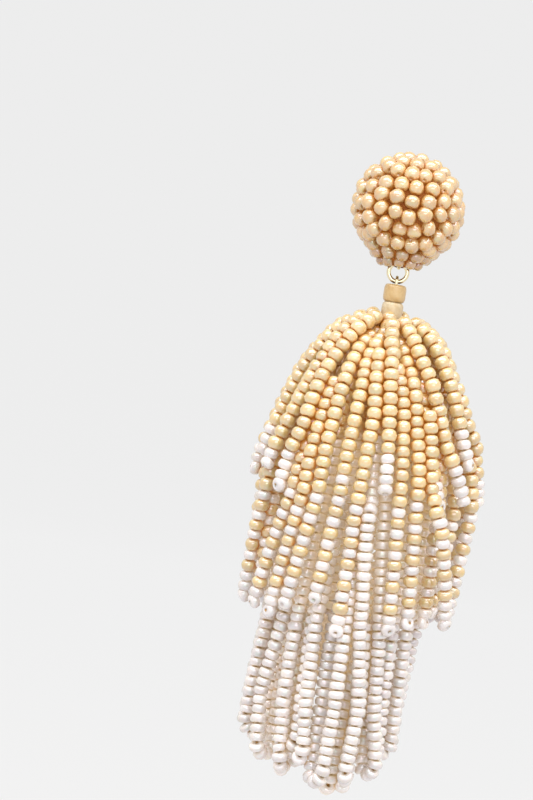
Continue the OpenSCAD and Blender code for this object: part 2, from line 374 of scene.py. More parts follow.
class TasselSettings(bpy.types.PropertyGroup):
    """Sizes of the tassel's beads and thread."""

    cream_width: length("Cream width", "Width of a cream bead", 2.45)
    cream_length: length("Cream length", "Length of a cream bead along its hole", 1.95)
    short_length: length("Short cream length", "Length of a cream bead between white ones", 1.76)
    white_width: length("White width", "Width of a white bead in the upper tiers", 2.35)
    white_length: length("White length", "Length of a white bead in the upper tiers", 1.6)
    loop_width: length("Loop bead width", "Width of a bead in the looped strands", 2.42)
    loop_length: length("Loop bead length", "Length of a bead in the looped strands", 1.45)
    hole: length("Hole", "Diameter of the hole through a bead", 0.62)
    thread: length("Thread", "Diameter of the beading thread", 0.46)
    seed: IntProperty(name="Seed", description="Seed of the beads' small differences", default=7)


class FinishSettings(bpy.types.PropertyGroup):
    """Colours of the finishes."""

    cream: colour("Cream glass", "Body of the cream beads", "#E2CF96")
    # The middle colours are painted shade: each bead's middle is painted darker than its ends.
    cream_belly: colour("Cream belly", "The thick middle of a cream bead", "#D9BC79")
    # Painted shade: the cream glass turns to this colour where beads meet.
    cream_shade: colour("Cream shade", "Cream glass where beads meet", "#C9883A")
    white: colour("White glass", "Body of the white beads", "#EDEAE4")
    white_belly: colour("White belly", "The thick middle of a white bead", "#E1DCD5")
    # Painted shade: the white glass turns to this colour where beads meet.
    white_shade: colour("White shade", "White glass where beads meet", "#D8C5A6")
    ball: colour("Ball glass", "Body of the ball's beads", "#DCBF82")
    ball_belly: colour("Ball belly", "The thick middle of a bead on the ball", "#D4AD69")
    # Painted shade: the ball's glass turns to this colour where beads meet.
    ball_shade: colour("Ball shade", "The ball's glass where beads meet", "#B87020")
    # The glow colours are painted light: the glass glows in them in the gaps between beads and deep
    # inside the tassel, though it is no lamp.
    cream_painted_glow: colour("Cream glow", "Light that cream glass carries into gaps", "#744608")
    white_painted_glow: colour("White glow", "Light that white glass carries into gaps", "#655434")
    gold: colour("Gold", "Pale gold plating", "#F2E4C2")
    steel: colour("Steel", "Surgical steel", "#D6D3CC")
    thread: colour("Thread", "Nylon beading thread", "#C99A5E")
    core: colour("Core", "Wound core of the ball", "#B46A26")
    neck_upper: colour("Upper neck bead", "Glaze of the upper neck bead", "#CEB180")
    neck_lower: colour("Lower neck bead", "Glaze of the lower neck bead", "#D3C2A2")


class StageSettings(bpy.types.PropertyGroup):
    """The studio round the earring."""

    lens: FloatProperty(name="Lens", description="Focal length", default=200, unit="CAMERA")
    field: length("Field", "Height that the picture covers at the earring", 124.6)
    aim_side: length("Aim to the left", "How far left of the post the camera stands", 17.15)
    aim_down: length("Aim down", "How far below the ball's centre the camera stands", 32.8)
    turn: FloatProperty(name="Turn", description="Turn of the picture", subtype="ANGLE",
                        default=math.radians(8.94))
    floor: colour("Paper", "Studio paper on the floor and wall", "#EFEFEF")


def rgba(value):
    """A colour with full alpha, as colour sockets take it."""
    return (*value, 1.0)


def tinted(tone, factors):
    """A colour with its red, green and blue each taken times a factor."""
    return [c * f for c, f in zip(tone, factors)]


def add_node(tree, kind, links=None, stops=(), **settings):
    """Adds a node with its settings. links holds values, sockets, or nodes whose first
    output is meant, for its inputs. stops holds the places and colours of a ramp."""
    node = tree.nodes.new(kind)
    for name, value in settings.items():
        setattr(node, name, value)
    for name, value in (links or {}).items():
        if isinstance(value, bpy.types.Node):
            value = value.outputs[0]
        if isinstance(value, bpy.types.NodeSocket):
            tree.links.new(value, node.inputs[name])
        else:
            node.inputs[name].default_value = value
    for i, (place, tone) in enumerate(stops):
        elements = node.color_ramp.elements
        element = elements[i] if i < len(elements) else elements.new(place)
        element.position = place
        element.color = rgba(tone)
    return node


def new_material(name):
    """An empty material, what adds its nodes, and its places in the earring's own space."""
    material = bpy.data.materials.new(name)
    material.use_nodes = True
    material.node_tree.nodes.clear()
    add = partial(add_node, material.node_tree)
    return material, add, add("ShaderNodeTexCoord").outputs["Object"]


def bead_material(name, finish, kind, glow, deep_shade_factors, inner_painted_glow, end_lift, roughness):
    """Opaque lustred seed bead glass, drawn as cane, cut, tumbled in heat and coated.

    The tumbled surface is slightly uneven, so its broad highlight wavers. The middle of
    each bead is painted darker than its ends, a painted shade band across it. The lustre
    is a thin film of metal oxide, which tints the broad highlight pink or green. Where the
    ambient occlusion finds neighbours close, the colour turns to the shade and deep
    colours, painted shade between beads, less so at the ends of a bead, and the coat is
    thinned there. The glass glows in the gaps and deep inside the tassel, which is
    painted light. Each bead differs a little in tone, and a tone below 0 is painted shade.
    """
    material, add, place = new_material(name)
    body, belly, shade = (getattr(finish, kind + part) for part in ("", "_belly", "_shade"))
    deep = tinted(shade, deep_shade_factors)
    meet = add("ShaderNodeAmbientOcclusion", {"Distance": GAP_REACH}, samples=3).outputs["AO"]
    round_part, tone, inside = (add("ShaderNodeAttribute", attribute_name=look).outputs["Fac"]
                                for look in ("belly", "tone", "inside"))

    # Painted shade: where the ambient occlusion finds neighbours close, the colour runs from the
    # body to the shade and the deep colour. end_lift lessens it towards the ends of a bead, so the
    # grooves between beads on one thread stay lighter.
    lifted = add("ShaderNodeMath", {0: meet, 1: end_lift})
    open_part = add("ShaderNodeMath", {0: round_part, 1: -end_lift, 2: lifted},
                    operation="MULTIPLY_ADD")
    ramp = add("ShaderNodeValToRGB", {"Fac": open_part},
               stops=((0.04, deep), (0.3, shade), (0.64, body)))
    ramp.color_ramp.interpolation = "EASE"
    # Painted shade band: the colour is taken times the middle colour over each bead's middle, and
    # left as it is towards its ends.
    middle_shade_mask = add("ShaderNodeMapRange", {"Value": round_part, "From Min": 0.3, "From Max": 0.85},
                 interpolation_type="SMOOTHSTEP")
    middle_shade_tint = rgba([b / c for b, c in zip(belly, body)])
    glass = add("ShaderNodeMix", {"Factor": middle_shade_mask, "A": rgba(WHITE), "B": middle_shade_tint},
                data_type="RGBA")
    pale = add("ShaderNodeMix", {"Factor": 1.0, "A": ramp, "B": glass.outputs[2]},
               data_type="RGBA", blend_type="MULTIPLY")
    # A tone below 0 is painted shade, given to the funnel's beads under the ball.
    bright = add("ShaderNodeMapRange", {"Value": tone, "From Min": -1.0, "To Min": 0.66,
                                        "To Max": 1.06})
    mottle = add("ShaderNodeTexNoise", {"Vector": place, "Scale": PATCHES, "Detail": 3.0})
    mottled = add("ShaderNodeMapRange", {"Value": mottle, "To Min": 0.95, "To Max": 1.05})
    factor = add("ShaderNodeMath", {0: bright, 1: mottled}, operation="MULTIPLY")
    tint = add("ShaderNodeHueSaturation", {"Color": pale.outputs[2], "Value": factor})

    waver = add("ShaderNodeTexNoise", {"Vector": place, "Scale": WAVES, "Detail": 2.0})
    bump = add("ShaderNodeBump", {"Height": waver, "Distance": 0.12 * MM, "Strength": 0.5})
    flat_place = add("ShaderNodeMapping", {"Vector": place, "Scale": (1, 1, 3)})
    streak = add("ShaderNodeTexNoise", {"Vector": flat_place, "Scale": STREAKS, "Detail": 0.0})
    uneven = add("ShaderNodeBump", {"Height": streak, "Distance": 0.05 * MM, "Strength": 0.6})
    film = add("ShaderNodeMapRange", {"Value": mottle, "To Min": LUSTRE_NM[0],
                                      "To Max": LUSTRE_NM[1]})
    # Painted shade on the gloss: the coat is thinned where the ambient occlusion finds neighbours
    # close, so the gaps reflect less.
    coat_thinned_in_gaps = add("ShaderNodeMapRange", {"Value": meet, "From Min": 0.08, "From Max": 0.45,
                                       "To Min": 0.1})
    # Painted light: the glass glows in the glow colour in the gaps, where the ambient occlusion
    # finds neighbours close, and more on beads that lie deep inside the tassel.
    gap = add("ShaderNodeMapRange", {"Value": meet, "From Max": 0.6, "To Min": 1.0, "To Max": 0.0})
    under = add("ShaderNodeMath", {0: inside, 1: inner_painted_glow}, operation="MULTIPLY")
    painted_glow_strength = add("ShaderNodeMath", {0: under, 1: gap}, operation="MAXIMUM")
    shader = add("ShaderNodeBsdfPrincipled", {
        "Base Color": tint, "Normal": bump, "Roughness": roughness, "IOR": 1.52,
        "Thin Film Thickness": film, "Thin Film IOR": 1.74,
        "Emission Color": rgba(glow), "Emission Strength": painted_glow_strength,
        "Coat Weight": coat_thinned_in_gaps, "Coat Roughness": 0.03, "Coat IOR": 2.15, "Coat Normal": uneven})
    add("ShaderNodeOutputMaterial", {"Surface": shader})
    return material


def metal_material(name, tone, roughness):
    """Drawn and polished wire, plated. Fine drawing lines soften its bright glints."""
    material, add, place = new_material(name)
    lines = add("ShaderNodeTexNoise", {"Vector": place, "Scale": DRAWING_LINES, "Detail": 4.0})
    bump = add("ShaderNodeBump", {"Height": lines, "Distance": 0.02 * MM, "Strength": 0.3})
    wear = add("ShaderNodeTexNoise", {"Vector": place, "Scale": WEAR, "Detail": 2.0})
    rough = add("ShaderNodeMapRange", {"Value": wear, "To Min": roughness * 0.7,
                                       "To Max": roughness * 1.3})
    shader = add("ShaderNodeBsdfPrincipled", {"Base Color": rgba(tone), "Metallic": 1.0,
                                              "Roughness": rough, "Normal": bump})
    add("ShaderNodeOutputMaterial", {"Surface": shader})
    return material


def glaze_material(name, tone):
    """Pressed opaque glass with a satin skin. Cloudy swirls and tiny pits show in it."""
    material, add, place = new_material(name)
    cloud = add("ShaderNodeTexNoise", {"Vector": place, "Scale": SWIRLS, "Detail": 3.0,
                                       "Distortion": 0.6})
    body = add("ShaderNodeValToRGB", {"Fac": cloud},
               stops=((0.3, tinted(tone, (0.86, 0.76, 0.6))), (0.62, tone)))
    pits = add("ShaderNodeTexNoise", {"Vector": place, "Scale": PITS, "Detail": 2.0})
    bump = add("ShaderNodeBump", {"Height": pits, "Distance": 0.05 * MM, "Strength": 0.4})
    shader = add("ShaderNodeBsdfPrincipled", {
        "Base Color": body, "Normal": bump, "Roughness": 0.32, "IOR": 1.5, "Coat Weight": 0.3,
        "Coat Roughness": 0.15})
    add("ShaderNodeOutputMaterial", {"Surface": shader})
    return material


def thread_material(name, tone):
    """Twisted nylon thread. The twist shows as fine slanting ridges and a dull sheen, with painted
    shade in the grooves between the ridges.
    """
    material, add, place = new_material(name)
    twist = add("ShaderNodeTexWave", {"Vector": place, "Scale": TWIST, "Distortion": 2.0},
                bands_direction="DIAGONAL").outputs["Fac"]
    groove_shade = rgba(tinted(tone, (0.6, 0.6, 0.6)))
    body = add("ShaderNodeMix", {"Factor": twist, "A": groove_shade, "B": rgba(tone)}, data_type="RGBA")
    bump = add("ShaderNodeBump", {"Height": twist, "Distance": 0.05 * MM})
    shader = add("ShaderNodeBsdfPrincipled", {"Base Color": body.outputs[2], "Normal": bump,
                                              "Roughness": 0.6, "Specular IOR Level": 0.3})
    add("ShaderNodeOutputMaterial", {"Surface": shader})
    return material


def paper_material(name, tone):
    """Matt studio paper, pressed, with a faint tooth and its own even brightness."""
    material, add, place = new_material(name)
    tooth = add("ShaderNodeTexNoise", {"Vector": place, "Scale": PAPER_TOOTH})
    bump = add("ShaderNodeBump", {"Height": tooth, "Distance": 0.1 * MM, "Strength": 0.1})
    shader = add("ShaderNodeBsdfPrincipled", {
        "Base Color": rgba(tinted(tone, (0.05, 0.05, 0.05))), "Normal": bump, "Roughness": 0.9,
        "Specular IOR Level": 0.1, "Emission Color": rgba(tone), "Emission Strength": 0.93})
    add("ShaderNodeOutputMaterial", {"Surface": shader})
    return material


def deselect_all():
    """Leaves object mode with nothing selected."""
    if bpy.context.mode != "OBJECT":
        bpy.ops.object.mode_set(mode="OBJECT")
    bpy.ops.object.select_all(action="DESELECT")


def select_only(obj):
    """Makes one object the selected and active one."""
    deselect_all()
    obj.select_set(True)
    bpy.context.view_layer.objects.active = obj


def select_where(obj, kind, test):
    """Selects the faces or edges of obj that pass a test, and enters edit mode."""
    select_only(obj)
    bpy.ops.object.mode_set(mode="EDIT")
    bpy.ops.mesh.select_mode(type="FACE" if kind == "polygons" else "EDGE")
    bpy.ops.mesh.select_all(action="DESELECT")
    bpy.ops.object.mode_set(mode="OBJECT")
    for item in getattr(obj.data, kind):
        item.select = test(item)
    bpy.ops.object.mode_set(mode="EDIT")


def extrude(step, scale=None):
    """Extrudes what is selected, and then sizes it sideways from the earring's middle."""
    bpy.ops.mesh.extrude_region_move(TRANSFORM_OT_translate={"value": step})
    if scale:
        bpy.ops.transform.resize(value=(scale, scale, 1), center_override=(0, hang_y, 0))


def turn_faces(inside=False):
    """Turns all faces of the mesh in edit mode outwards, or inwards, and leaves edit mode."""
    bpy.ops.mesh.select_all(action="SELECT")
    bpy.ops.mesh.normals_make_consistent(inside=inside)
    bpy.ops.object.mode_set(mode="OBJECT")


def apply_modifier(obj, kind, name, **settings):
    """Adds a modifier with its settings and applies it."""
    modifier = obj.modifiers.new(name, kind)
    for key, value in settings.items():
        setattr(modifier, key, value)
    select_only(obj)
    bpy.ops.object.modifier_apply(modifier=name)


def model_bead(name, width, height, hole, material, groove, bulge=BULGE, segments=12, rounds=2,
               shoulder=SHOULDER_SHARE):
    """One bead: a short cylinder drilled through, with rounded shoulders. groove is how
    deep the shoulders leave the gap between two beads on a thread."""
    deselect_all()
    depth = groove / shoulder
    bpy.ops.mesh.primitive_cylinder_add(vertices=segments, radius=width / 2, depth=depth,
                                        end_fill_type="NGON")
    bead = bpy.context.object
    bead.name = name
    select_where(bead, "polygons", lambda face: abs(face.normal.z) > 0.9)
    bpy.ops.mesh.inset(thickness=(width - hole) / 2)
    bpy.ops.mesh.bridge_edge_loops()
    bpy.ops.object.mode_set(mode="OBJECT")
    points = bead.data.vertices
    rim = width / 2 * 0.97

    def on_rim(edge):
        ends = [points[i].co for i in edge.vertices]
        flat = abs(ends[0].z - ends[1].z) < depth * 0.1
        return flat and all(math.hypot(end.x, end.y) > rim for end in ends)

    select_where(bead, "edges", on_rim)
    bpy.ops.mesh.bevel(offset=groove, segments=rounds, profile=0.5, affect="EDGES")
    turn_faces()
    apply_modifier(bead, "CAST", "Bulge", factor=bulge, cast_type="SPHERE")
    points = bead.data.vertices
    wide = width / 2 / max(math.hypot(point.co.x, point.co.y) for point in points)
    bead.scale = (wide, wide, height / 2 / max(point.co.z for point in points))
    bpy.ops.object.transform_apply(location=False, rotation=False, scale=True)
    bpy.ops.object.shade_smooth()
    belly = bead.data.attributes.new("belly", "FLOAT", "POINT")
    belly.data.foreach_set("value", [1 - abs(point.co.z) / (height / 2) for point in points])
    bead.data.materials.append(material)
    return bead


def geometry_tree(name):
    """An empty geometry tree, what adds its nodes, and the mesh that comes in."""
    tree = bpy.data.node_groups.new(name, "GeometryNodeTree")
    for way in ("INPUT", "OUTPUT"):
        tree.interface.new_socket(name="Geometry", in_out=way, socket_type="NodeSocketGeometry")
    add = partial(add_node, tree)
    return tree, add, add("NodeGroupInput")


def stringing_tree(bead):
    """Puts a bead on every point, its hole along the thread, as real mesh."""
    tree, add, start = geometry_tree("String beads")
    shape = add("GeometryNodeObjectInfo", {"Object": bead})
    along, size = (add("GeometryNodeInputNamedAttribute", {"Name": name},
                       data_type="FLOAT_VECTOR") for name in ("along", "size"))
    turn = add("FunctionNodeAlignRotationToVector", {"Vector": along}, axis="Z")
    placed = add("GeometryNodeInstanceOnPoints", {
        "Points": start, "Instance": shape.outputs["Geometry"], "Rotation": turn, "Scale": size})
    real = add("GeometryNodeRealizeInstances", {"Geometry": placed})
    add("NodeGroupOutput", {"Geometry": real})
    return tree


def thread_tree(radius):
    """Turns lines into round thread of one thickness."""
    tree, add, start = geometry_tree("Spin thread")
    curve = add("GeometryNodeMeshToCurve", {"Mesh": start})
    ring = add("GeometryNodeCurvePrimitiveCircle", {"Resolution": 6, "Radius": radius})
    tube = add("GeometryNodeCurveToMesh", {"Curve": curve, "Profile Curve": ring,
                                           "Fill Caps": True})
    smooth = add("GeometryNodeSetShadeSmooth", {"Geometry": tube})
    add("NodeGroupOutput", {"Geometry": smooth})
    return tree


def linked_object(name, data):
    """A new object for a mesh, a lamp or a camera, in the scene."""
    obj = bpy.data.objects.new(name, data)
    bpy.context.scene.collection.objects.link(obj)
    return obj


def grown_piece(name, mesh, tree, material):
    """A piece that a geometry tree makes of a mesh of points or lines."""
    piece = linked_object(name, mesh)
    apply_modifier(piece, "NODES", "Grow", node_group=tree)
    piece.data.materials.clear()
    piece.data.materials.append(material)
    return piece


def string_beads(name, bead, places):
    """Beads of one kind as one mesh. places holds where each is, its way and its look."""
    mesh = bpy.data.meshes.new(name)
    mesh.from_pydata([tuple(point) for point in places["centre"]], [], [])
    for key, kind, field in (("along", "FLOAT_VECTOR", "vector"), ("size", "FLOAT_VECTOR", "vector"),
                             ("tone", "FLOAT", "value"), ("inside", "FLOAT", "value")):
        values = mesh.attributes.new(key, kind, "POINT")
        values.data.foreach_set(field, np.asarray(places[key], np.float32).ravel())
    piece = grown_piece(name, mesh, stringing_tree(bead), bead.data.materials[0])
    for key in ("along", "size"):
        values = piece.data.attributes.get(key)
        if values:
            piece.data.attributes.remove(values)
    return piece


def spin_threads(name, runs, radius, material):
    """Threads through lists of points, as one mesh."""
    points, edges = [], []
    for run in runs:
        first = len(points)
        edges += [(first + i, first + i + 1) for i in range(len(run) - 1)]
        points += [tuple(point) for point in run]
    mesh = bpy.data.meshes.new(name)
    mesh.from_pydata(points, edges, [])
    return grown_piece(name, mesh, thread_tree(radius), material)


def lengths_of(vectors):
    """Length of each vector, as a column, and never quite nothing."""
    return np.maximum(np.linalg.norm(vectors, axis=1), 1e-6)[:, None]


def near_pairs(points, reach):
    """Index pairs of points that lie closer than reach."""
    square = (points ** 2).sum(1)
    distance = square[:, None] + square[None, :] - 2 * points @ points.T
    return np.nonzero(np.triu(distance < reach ** 2, 1))


def push_apart(points, first, second, room, give):
    """Moves each pair that is closer than its room apart, half each."""
    apart = points[second] - points[first]
    distance = lengths_of(apart)
    shift = apart * (np.maximum(room[:, None] - distance, 0) / distance * 0.5)
    moved = np.zeros_like(points)
    np.add.at(moved, second, shift * give[second][:, None])
    np.add.at(moved, first, -shift * give[first][:, None])
    return points + moved * PUSH


# The bell's surface, smoothed, at close steps down from the crown
bell_h = np.arange(0, UPPER_DROP + 0.05, 0.1)
bell_rows = np.array(BELL)
bell_r = np.interp(bell_h / UPPER_DROP, bell_rows[:, 0], bell_rows[:, 1]) * BELL_HALF
bell_r = np.convolve(np.pad(bell_r, 8, mode="edge"), np.ones(17) / 17, mode="valid")


def centre_line(depths, end_r, end_h):
    """Radius and drop down the middle of a tier's strands, from the crown to its end and
    a little further."""
    rows = np.array(depths)
    depth = np.interp(bell_h, rows[:, 0], rows[:, 1])
    slope = np.gradient(bell_r, bell_h)
    down = 1 / np.hypot(slope, 1)
    r = bell_r - depth * down
    h = bell_h + depth * slope * down
    keep = (r > 0.5) & (h < UPPER_DROP)
    r, h = r[keep], np.maximum.accumulate(h[keep])
    if end_r:
        r = np.minimum(r, max(end_r, r[-1]) if end_h == MIDDLE_DROP else end_r)
    more = np.arange(h[-1] + LINE_STEP, end_h + LINE_OVER, LINE_STEP)
    share = np.clip((more - h[-1]) / (end_h - h[-1]), 0, 1)
    tail = r[-1] + ((end_r or r[-1]) - r[-1]) * share
    return np.concatenate([r, tail]), np.concatenate([h, more])


upper_line = centre_line(UPPER_DEPTH, 0, UPPER_DROP)
middle_line = centre_line(MIDDLE_DEPTH, MIDDLE_HEM_R, MIDDLE_DROP)
lower_line = centre_line(LOWER_DEPTH, LOWER_R, LOWER_DROP)


def lean_at(h):
    """Sideways lean of the tassel at a drop."""
    rows = np.array(LEAN)
    return SWAY * np.interp(np.asarray(h) / LOWER_DROP, rows[:, 0], rows[:, 1])


def strand_route(line, stations, degrees, start, end, sunk):
    """Close points down one strand, from its first to its last drop. A negative sunk
    brings the strand forward below the upper tier."""
    r, h = line
    drops = np.linspace(start, end, ROUTE_POINTS)
    share = np.clip((drops - UPPER_DROP) / FORWARD_STRETCH + 0.5, 0, 1) if sunk < 0 else 1.0
    radii = np.interp(drops, h, r) - sunk * share
    turn = np.radians(np.interp(drops, stations, degrees))
    side = lean_at(drops) + radii * np.sin(turn)
    return np.stack([side, -DEPTH_SHARE * radii * np.cos(turn), drops], 1)


class Strands:
    """All the strands of the tassel, bead by bead, in the tassel's own millimetres."""

    def __init__(self, settings):
        self.chance = np.random.default_rng(settings.seed)
        self.centres = []
        self.facts = []
        self.count = 0
        cream, short, white, loop = (value / MM for value in (
            settings.cream_length, settings.short_length, settings.white_length,
            settings.loop_length))
        wide = settings.cream_width / MM
        # Each kind's width, its length on the thread and the length that it is modelled with
        self.sizes = {"cream": (wide, cream, cream), "short": (wide * 0.97, short, cream),
                      "white": (settings.white_width / MM, white, white),
                      "loop": (settings.loop_width / MM, loop, loop)}

    def add(self, tier, route, next_kind, hold):
        """Strings one strand. next_kind(drop, kinds so far) names each bead's kind."""
        steps = np.linalg.norm(np.diff(route, axis=0), axis=1)
        done = np.concatenate([[0], np.cumsum(steps)])
        kinds, lengths, run = [], [], 0.0
        while run < done[-1] + DRAW_OVER:
            kinds.append(next_kind(float(np.interp(run, done, route[:, 2])), kinds))
            uneven = float(np.clip(self.chance.standard_normal(), -LENGTH_LIMIT, LENGTH_LIMIT))
            lengths.append(self.sizes[kinds[-1]][1] * (1 + LENGTH_SPREAD * uneven))
            run += lengths[-1]
        long = np.array(lengths)
        at = np.concatenate([[0], np.cumsum((long[1:] + long[:-1]) / 2)])
        at = at[at <= done[-1]]
        self.centres += list(np.stack([np.interp(at, done, column) for column in route.T], 1))
        for i in range(len(at)):
            width, _, modelled = self.sizes[kinds[i]]
            self.facts.append({"tier": tier, "strand": self.count, "hold": hold, "width": width,
                               "kind": "cream" if kinds[i] == "short" else kinds[i],
                               "length": lengths[i], "modelled": modelled,
                               "last": i == len(at) - 1})
        self.count += 1

    def each(self, name):
        """One fact of every bead."""
        return np.array([fact[name] for fact in self.facts])

    def linked(self):
        """Whether each bead but the last hangs on the same thread as the next one."""
        strand = self.each("strand")
        return strand[1:] == strand[:-1]


def settle(strands):
    """Lets the strands lie side by side: beads push each other apart, stay one bead's
    length from the next on the thread, and are drawn back to where they hang."""
    target = np.array(strands.centres)
    points = target.copy()
    strand = strands.each("strand")
    lengths = strands.each("length")
    radii = strands.each("width") / 2
    hold = strands.each("hold")
    give = np.where(hold[:, 0] > 0.1, CHARTED_GIVE, 1.0)
    link = np.nonzero(strands.linked())[0]
    gap = ((lengths[link] + lengths[link + 1]) / 2)[:, None]
    for step in range(SETTLE_ROUNDS):
        if step % 8 == 0:
            first, second = near_pairs(points, SETTLE_REACH)
            loose = ~((second == first + 1) & (strand[first] == strand[second]))
            first, second = first[loose], second[loose]
            room = (radii[first] + radii[second]) * CLOSENESS
        points = points + (target - points) * hold
        points = push_apart(points, first, second, room, give)
        apart = points[link + 1] - points[link]
        distance = lengths_of(apart)
        shift = apart * ((distance - gap) / distance * THREAD_PULL)
        moved = np.zeros_like(points)
        np.add.at(moved, link, shift)
        np.add.at(moved, link + 1, -shift)
        points = points + moved
    return points


def hang_outer_tier(strands, tier, line, stations, drop, front, back):
    """Strings the upper or the middle tier: its charted strands, then those by rule."""
    chance = strands.chance
    rows = [(*row, CHARTED_HOLD) for row in front]
    count, first, starts, ragged, not_cream = back
    for i in range(count):
        turn = first + BACK_STEP * i + chance.uniform(-BACK_STRAY, BACK_STRAY)
        end = drop - chance.uniform(0, ragged)
        pattern = end - chance.uniform(*not_cream)
        rows.append(((turn,) * 4, starts[i % len(starts)], pattern, end, 0.0, FREE_HOLD))
    for degrees, start, pattern, end, sunk, hold in rows:

        def next_kind(at, kinds):
            if at < pattern:
                return "cream"
            in_turn = tier == "middle" and end - at >= WHITE_END
            return "short" if in_turn and kinds and kinds[-1] == "white" else "white"

        route = strand_route(line, stations, degrees, start, end, sunk)
        strands.add(tier, route, next_kind, hold)


def hang_loops(strands):
    """Strings the lower tier: down the outside, round, and back up inside."""
    chance = strands.chance
    rows = [(*row, LOOP_HOLD) for row in LOWER_FRONT]
    count, first, step = LOWER_BACK
    for i in range(count):
        turn = first + step * i + chance.uniform(-LOOP_STRAY, LOOP_STRAY)
        bend = chance.uniform(-LOOP_BEND, LOOP_BEND)
        beside = math.sin(math.radians(turn)) ** 2
        lowest = LOWER_DROP - BACK_RISE - SIDE_RISE * beside - chance.uniform(0, LOOP_RAGGED)
        rows.append(((turn, turn, turn, turn + bend, turn), LOWER_WHITE, lowest, 0.0, FREE_HOLD))
    for degrees, pattern, lowest, sunk, hold in rows:
        low = lowest - LOOP_R
        inner_turn = INNER_TURN if degrees[0] >= 0 else -INNER_TURN
        outer = strand_route(lower_line, LOWER_AT, degrees, LOWER_START, low, sunk)
        inner = strand_route(lower_line, LOWER_AT, [value + inner_turn for value in degrees],
                             INNER_START, low, sunk + 2 * LOOP_R)[::-1]
        middle = (outer[-1] + inner[0]) / 2
        half = (outer[-1] - inner[0]) / 2
        bend = [middle + half * math.cos(a) + np.array([0, 0, LOOP_R]) * math.sin(a)
                for a in np.linspace(0, math.pi, TURN_POINTS)[1:-1]]
        strands.add("lower", np.concatenate([outer, bend, inner]),
                    lambda at, kinds: "cream" if at < pattern else "loop", hold)


def covered(points):
    """How deep each bead lies behind the strands outside it, from 0 to 1."""
    h = points[:, 2]
    r = np.hypot(points[:, 0] - lean_at(h), points[:, 1] / DEPTH_SHARE)
    outside = np.full(len(h), LOWER_R)
    for line, drop in ((middle_line, MIDDLE_DROP), (upper_line, UPPER_DROP)):
        present = np.clip((drop + HEM_COVER - h) / HEM_SHADE, 0, 1)
        outside = np.maximum(outside, np.interp(h, line[1], line[0]) * present)
    return np.clip((outside - r) / COVER_DEPTH, 0, 1)


def in_frame(points):
    """Turns places in the tassel's millimetres into metres in the frame."""
    return np.array(points) * (MM, MM, -MM) + (0, hang_y, crown_z)


def differences(chance, share, count):
    """How much each bead differs in size: about this share, and at most twice that."""
    return np.clip(chance.normal(0, share, count), -2 * share, 2 * share)


def strand_places(strands, points, tier, kind):
    """Where a tier's beads of one kind go. The last bead of a strand that has no loop is
    knotted on sideways, and shows its hole."""
    chance = np.random.default_rng(strands.count)
    linked = strands.linked()
    index = np.arange(len(points))
    along = (points[index + np.append(linked, False)]
             - points[index - np.insert(linked, 0, False)])
    wobble = chance.normal(0, TILT, along.shape)
    grow = differences(chance, WIDTH_SPREAD, len(points))
    tone = chance.uniform(0, 1, len(points))
    tiers = strands.each("tier")
    along = along / lengths_of(along) + wobble
    last = strands.each("last") & (tiers != "lower")
    outward = points[last] * (1, 1, 0)
    along[last] = outward / lengths_of(outward)
    along[last, 2] = KNOTTED_RISE + KNOTTED_TILT * wobble[last, 2]
    along = along / lengths_of(along) * (1, 1, -1)
    wide = 1 + grow * (LOOP_UNEVEN if kind == "loop" else 1)
    long = strands.each("length") / strands.each("modelled")
    pick = (tiers == tier) & (strands.each("kind") == kind)
    # inside, how deep a bead lies inside the tassel, sets how strongly it glows as painted light.
    return {"centre": in_frame(points[pick]), "along": along[pick],
            "size": np.stack([wide, wide, long], 1)[pick], "tone": tone[pick],
            "inside": covered(points)[pick]}


def thread_runs(strands, points, tier):
    """The thread through each strand of a tier, in metres in the frame."""
    runs = {}
    for fact, point in zip(strands.facts, points):
        if fact["tier"] != tier:
            continue
        run = runs.setdefault(fact["strand"], [])
        if not run:
            run.append(point * KNOT_SHARE + (0, 0, KNOT_DROP))
            inner = point * INNER_SHARE - (0, 0, INNER_RISE)
            if inner[2] > KNOT_DROP:
                run.append(inner)
        run.append(point)
        if fact["last"] and tier != "lower":
            run.append(point * END_SHARE)
    return [in_frame(run) for run in runs.values()]


def on_shell(side, up, radius):
    """The place on the front of a shell for a place in the front view."""
    flat = math.hypot(side, up)
    if flat >= radius:
        scale = radius / flat * 0.999
        side, up = side * scale, up * scale
    return (side, -math.sqrt(radius ** 2 - side ** 2 - up ** 2), up)


def ring_spots(pole, shell):
    """Places in rings round a pole of the shell."""
    across = np.cross(pole, (1.0, 0.0, 0.0))
    across /= np.linalg.norm(across)
    third = np.cross(pole, across)
    spots = []
    for ring, degrees in enumerate(RING_TILTS):
        tilt = math.radians(degrees)
        count = round(2 * math.pi * math.sin(tilt) * shell / RING_PITCH)
        for i in range(count):
            turn = 2 * math.pi * (i + 0.5 * (ring % 2)) / count
            way = across * math.cos(turn) + third * math.sin(turn)
            spots.append(shell * (pole * math.cos(tilt) + way * math.sin(tilt)))
    return spots


def even_spots(shell):
    """Places spread evenly over the shell, all but its front."""
    index = np.arange(BALL_TRIES)
    turn = math.pi * (3 - math.sqrt(5)) * index
    depth = 1 - (index + 0.5) * 2 / BALL_TRIES
    wide = np.sqrt(1 - depth ** 2)
    spread = np.stack([wide * np.cos(turn), depth, wide * np.sin(turn)], 1)
    return spread[depth > BALL_FILL_FROM] * shell


def fill_bare(points, spots, room, shell):
    """Adds a bead at each spot with this much room, clear of the pad and the funnel."""
    edge = shell * math.cos(OPEN_ANGLE)
    for spot in spots:
        if spot[1] < edge and -spot[2] < edge and np.linalg.norm(points - spot, axis=1).min() > room:
            points = np.vstack([points, spot])
    return points


def lie_apart(points, charted, shell):
    """Lets the beads that aren't charted slide over the ball until they lie side by side."""
    give = np.where(np.arange(len(points)) < charted, 0.0, SLIDE_GIVE)
    for _ in range(SLIDE_ROUNDS):
        first, second = near_pairs(points, SLIDE_REACH)
        points = push_apart(points, first, second, np.full(len(first), BALL_PITCH), give)
        points = points / lengths_of(points) * shell
    return points


